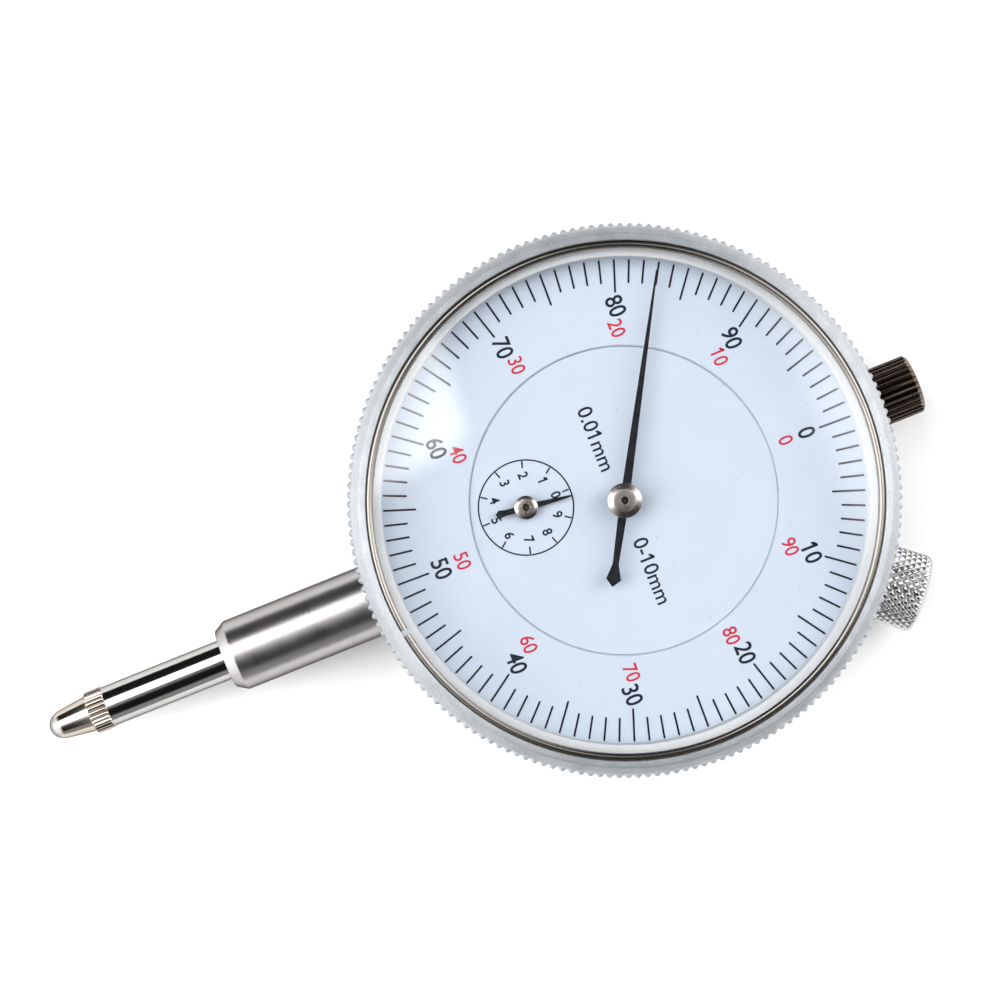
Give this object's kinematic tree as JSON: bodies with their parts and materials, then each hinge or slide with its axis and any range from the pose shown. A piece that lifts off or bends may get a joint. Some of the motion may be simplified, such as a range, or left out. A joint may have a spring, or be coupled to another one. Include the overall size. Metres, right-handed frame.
{
  "type": "dial indicator",
  "caption": "Plunger dial indicator with a clamping stem, a turning knurled bezel, a revolution counter, a bezel clamp and a rack and gear movement inside.",
  "frame": {"origin": "on the dial axis, in the plane of the flat back", "axes": "+Z out of the dial, -Y along the stem towards the contact point, +X to the right of the dial as it is read with the stem down"},
  "size_m": [0.0592, 0.102, 0.021],
  "materials": {
    "case_aluminium": "satin cast and turned",
    "bezel_aluminium": "satin, fine cast grain",
    "ground_steel": "ground",
    "polished_steel": "polished",
    "nickel_plate": "bright nickel plate",
    "ball_steel": "lapped",
    "black_chrome": "black nickel plate",
    "knob_nickel": "bright nickel plate, knurled",
    "snap_ring_brass": "nickelled brass wire",
    "screw_steel": "turned",
    "spring_steel": "bright wire",
    "brass": "turned",
    "gear_brass": "stamped and cut",
    "bush_bronze": "turned",
    "dial_enamel": "matt pale blue-white lacquer",
    "pointer_black": "matt black",
    "hub_steel": "turned",
    "crystal_acrylic": "clear acrylic",
    "print_black": "printed ink",
    "print_red": "printed ink"
  },
  "bodies": {
    "case": {"case_body": "case_aluminium", "back_cover": "case_aluminium", "back_cover_screws": "screw_steel", "stem": "ground_steel", "upper_bush": "brass", "bezel_retaining_wire": "spring_steel", "movement_bridge": "brass", "bridge_pillars": "brass", "bridge_screws": "screw_steel", "pinion_cock": "brass", "cock_pillars": "brass", "cock_screws": "screw_steel", "front_bushes": "bush_bronze", "bridge_bushes": "bush_bronze", "cock_bush": "bush_bronze", "guide_bar": "ground_steel", "guide_bar_screws": "screw_steel", "spring_post": "screw_steel", "hairspring_stud": "brass", "inner_dial": "dial_enamel"},
    "plunger": {"spindle": "polished_steel", "contact_point": "nickel_plate", "contact_ball": "ball_steel", "spindle_cap": "black_chrome", "guide_pin": "screw_steel", "return_spring": "spring_steel"},
    "rack_arbor": {"rack_pinion": "screw_steel", "intermediate_gear": "gear_brass", "small_pointer": "pointer_black", "small_pointer_hub": "hub_steel"},
    "centre_arbor": {"centre_pinion": "screw_steel", "main_pointer": "pointer_black", "main_pointer_hub": "hub_steel"},
    "takeup": {"takeup_arbor": "screw_steel", "takeup_gear": "gear_brass", "hairspring_collet": "brass", "hairspring": "spring_steel"},
    "bezel": {"bezel": "bezel_aluminium", "crystal": "crystal_acrylic", "crystal_snap_ring": "snap_ring_brass", "outer_dial_ring": "dial_enamel"},
    "clamp_shoe": {"clamp_shoe": "screw_steel"},
    "clamp_screw": {"clamp_screw": "knob_nickel"}
  },
  "joints": [
    {"name": "plunger_slide", "type": "slide", "parent": "case", "child": "plunger", "axis": [0, 1, 0], "range_m": [0, 0.0104], "stiffness_N_per_m": 58, "springref_m": -0.0155, "deforming": ["return_spring"]},
    {"name": "rack_arbor_turn", "type": "hinge", "parent": "case", "child": "rack_arbor", "pos_m": [-0.0032, -0.01, 0.0074], "axis": [0, 0, 1], "range_deg": [-5, 380]},
    {"name": "main_pointer_turn", "type": "hinge", "parent": "case", "child": "centre_arbor", "pos_m": [0, 0, 0.0123], "axis": [0, 0, 1], "range_deg": [-3800, 50]},
    {"name": "takeup_turn", "type": "hinge", "parent": "case", "child": "takeup", "pos_m": [-0.00675, 0.00804, 0.0128], "axis": [0, 0, 1], "range_deg": [-5, 380], "deforming": ["hairspring"]},
    {"name": "bezel_turn", "type": "hinge", "parent": "case", "child": "bezel", "pos_m": [0, 0, 0.0139], "axis": [0, 0, 1], "continuous": true},
    {"name": "clamp_travel", "type": "slide", "parent": "case", "child": "clamp_shoe", "axis": [-0.6266, -0.7793, 0], "range_m": [0, 0.00025]},
    {"name": "clamp_screw_turn", "type": "hinge", "parent": "clamp_shoe", "child": "clamp_screw", "pos_m": [0.01855, 0.02307, 0.007], "axis": [-0.6266, -0.7793, 0], "range_deg": [0, 128.6]}
  ],
  "couplings": [
    {"joint": "rack_arbor_turn", "follows": "plunger_slide", "rad_per_m": 628.32},
    {"joint": "main_pointer_turn", "follows": "plunger_slide", "rad_per_m": -6283.2},
    {"joint": "takeup_turn", "follows": "plunger_slide", "rad_per_m": 628.32},
    {"joint": "clamp_screw_turn", "follows": "clamp_travel", "rad_per_m": 8976}
  ]
}
